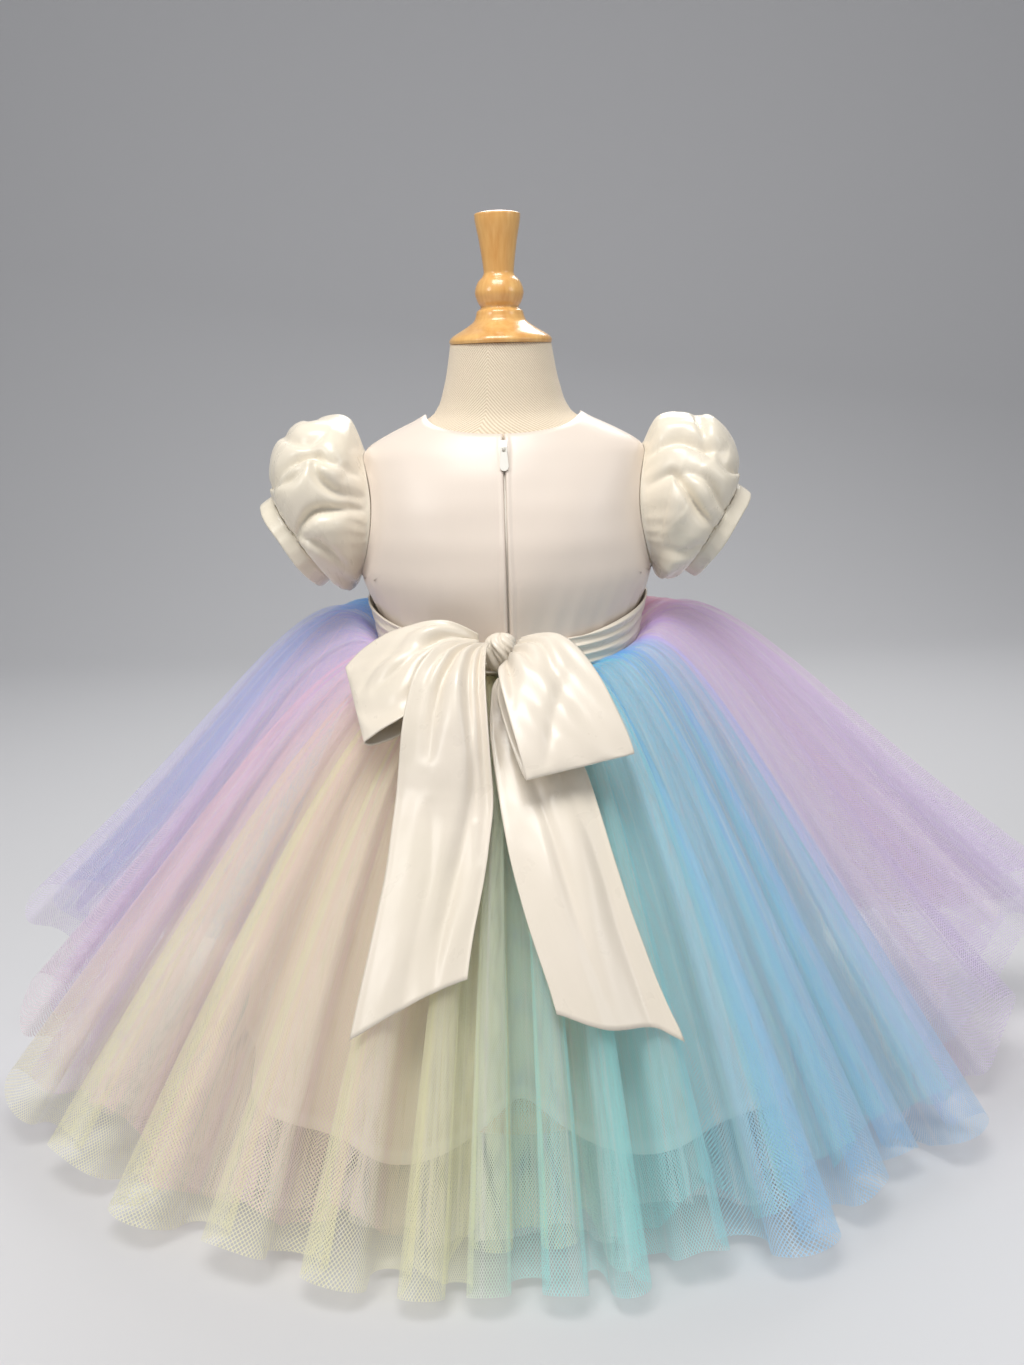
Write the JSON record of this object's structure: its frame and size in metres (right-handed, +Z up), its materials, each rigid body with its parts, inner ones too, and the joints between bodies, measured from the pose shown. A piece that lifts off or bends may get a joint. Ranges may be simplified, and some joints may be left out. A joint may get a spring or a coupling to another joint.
{
  "type": "child's dress with tulle skirt on a dress form",
  "caption": "Child's satin dress with puff sleeves, sash bow and layered rainbow tulle skirt, on a limbless dress form with a turned wooden neck cap.",
  "frame": {"origin": "on the floor under the middle of the form's round base", "axes": "+Z up; the back of the dress, with its zip and bow, faces -Y; the wearer's right side is at +X"},
  "size_m": [0.8159, 0.6083, 0.6232],
  "materials": {
    "satin_bodice": "heavy ivory satin, soft sheen",
    "satin_sleeve": "ivory satin, gathered",
    "satin_sash": "glossy ivory satin ribbon",
    "lining": "plain ivory satin lining",
    "tulle_aqua": "aqua nylon tulle",
    "tulle_blue": "sky blue nylon tulle",
    "tulle_lilac": "lilac nylon tulle",
    "tulle_pink": "pale pink nylon tulle",
    "tulle_yellow": "pale yellow nylon tulle",
    "tulle_inner": "pinkish white nylon tulle",
    "form_cover": "cream cotton twill",
    "wood": "varnished golden beech",
    "steel": "plain tube",
    "zip": "ivory enamelled slider and pull, ivory tape"
  },
  "bodies": {
    "dress": {"bodice_back_left": "satin_bodice", "bodice_back_right": "satin_bodice", "bodice_front": "satin_bodice", "bow_knot": "satin_sash", "bow_loop_left": "satin_sash", "bow_loop_right": "satin_sash", "bow_tail_left": "satin_sash", "bow_tail_right": "satin_sash", "cuff_left": "satin_sleeve", "cuff_right": "satin_sleeve", "form_base": "wood", "form_body": "form_cover", "form_pole": "steel", "neck_cap": "wood", "sash_band": "satin_sash", "skirt_lining": "lining", "sleeve_left": "satin_sleeve", "sleeve_right": "satin_sleeve", "tulle_over_01": "tulle_aqua", "tulle_over_02": "tulle_blue", "tulle_over_03": "tulle_lilac", "tulle_over_04": "tulle_pink", "tulle_over_05": "tulle_yellow", "tulle_over_06": "tulle_aqua", "tulle_over_07": "tulle_blue", "tulle_over_08": "tulle_lilac", "tulle_over_09": "tulle_pink", "tulle_over_10": "tulle_yellow", "tulle_under": "tulle_inner", "zip_slider": "zip", "zip_tape": "zip"},
    "pull_tab": {"zip_pull": "zip"}
  },
  "joints": [
    {"name": "pull_swing", "type": "hinge", "parent": "dress", "child": "pull_tab", "pos_m": [0, -0.057, 0.4682], "axis": [-1, 0, 0], "range_deg": [0, 150]}
  ]
}
